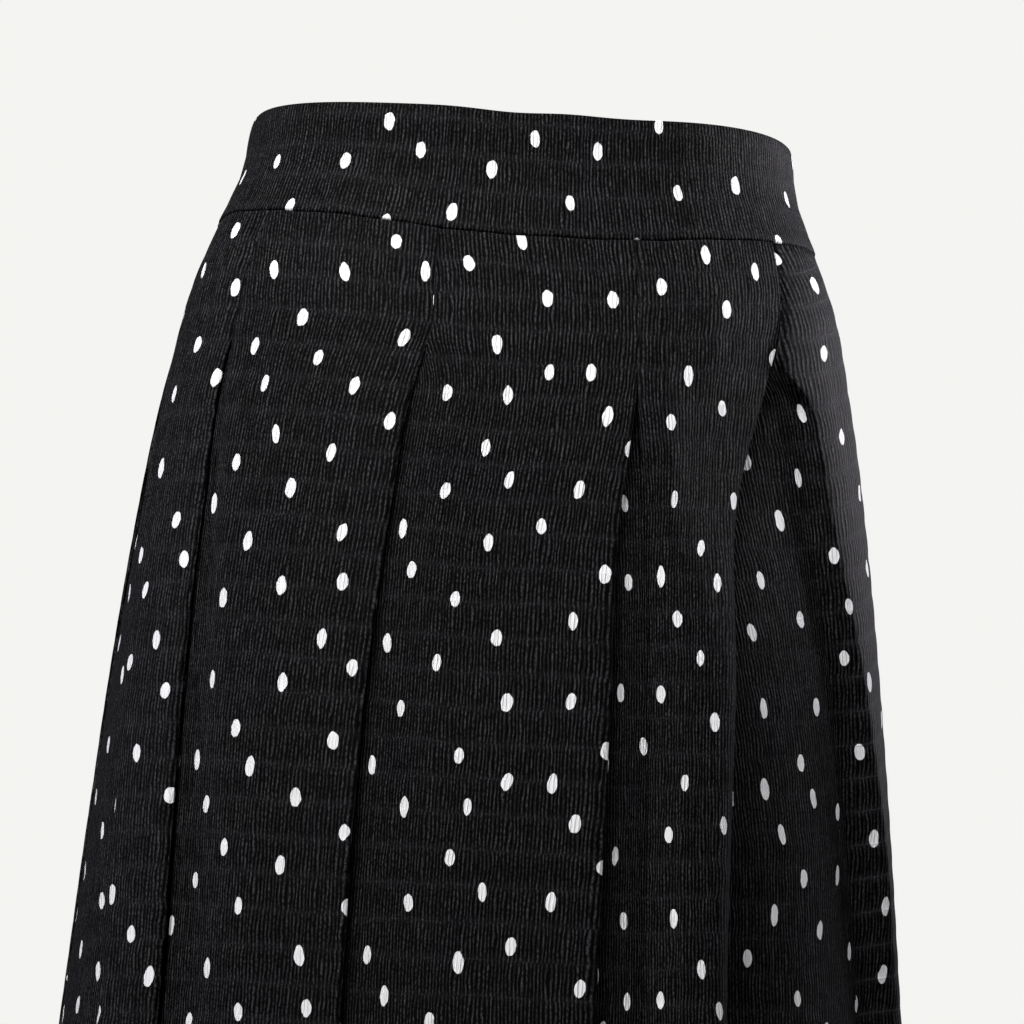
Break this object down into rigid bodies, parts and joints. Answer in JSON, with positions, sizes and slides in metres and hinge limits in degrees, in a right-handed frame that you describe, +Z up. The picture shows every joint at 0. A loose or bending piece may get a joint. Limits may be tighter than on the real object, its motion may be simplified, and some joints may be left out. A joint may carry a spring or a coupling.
{
  "type": "pleated midi skirt",
  "caption": "Black pull-on midi skirt in crinkled cloth with small white dots, a plain wide waistband and soft pleats stitched down at the hip, hollow as worn.",
  "frame": {"origin": "centre of the waist opening, at the mean level of the waistband's top edge, where the wearer's waist holds the skirt", "axes": "+Z up out of the waist opening, -Y to the front, +X to the wearer's left"},
  "size_m": [0.4598, 0.3882, 0.7837],
  "materials": {
    "crinkle_cloth": "matt vertical crinkle, white oval dots"
  },
  "bodies": {
    "root": {"waistband_front": "crinkle_cloth", "waistband_back": "crinkle_cloth", "skirt_front": "crinkle_cloth", "skirt_back": "crinkle_cloth"}
  },
  "joints": []
}
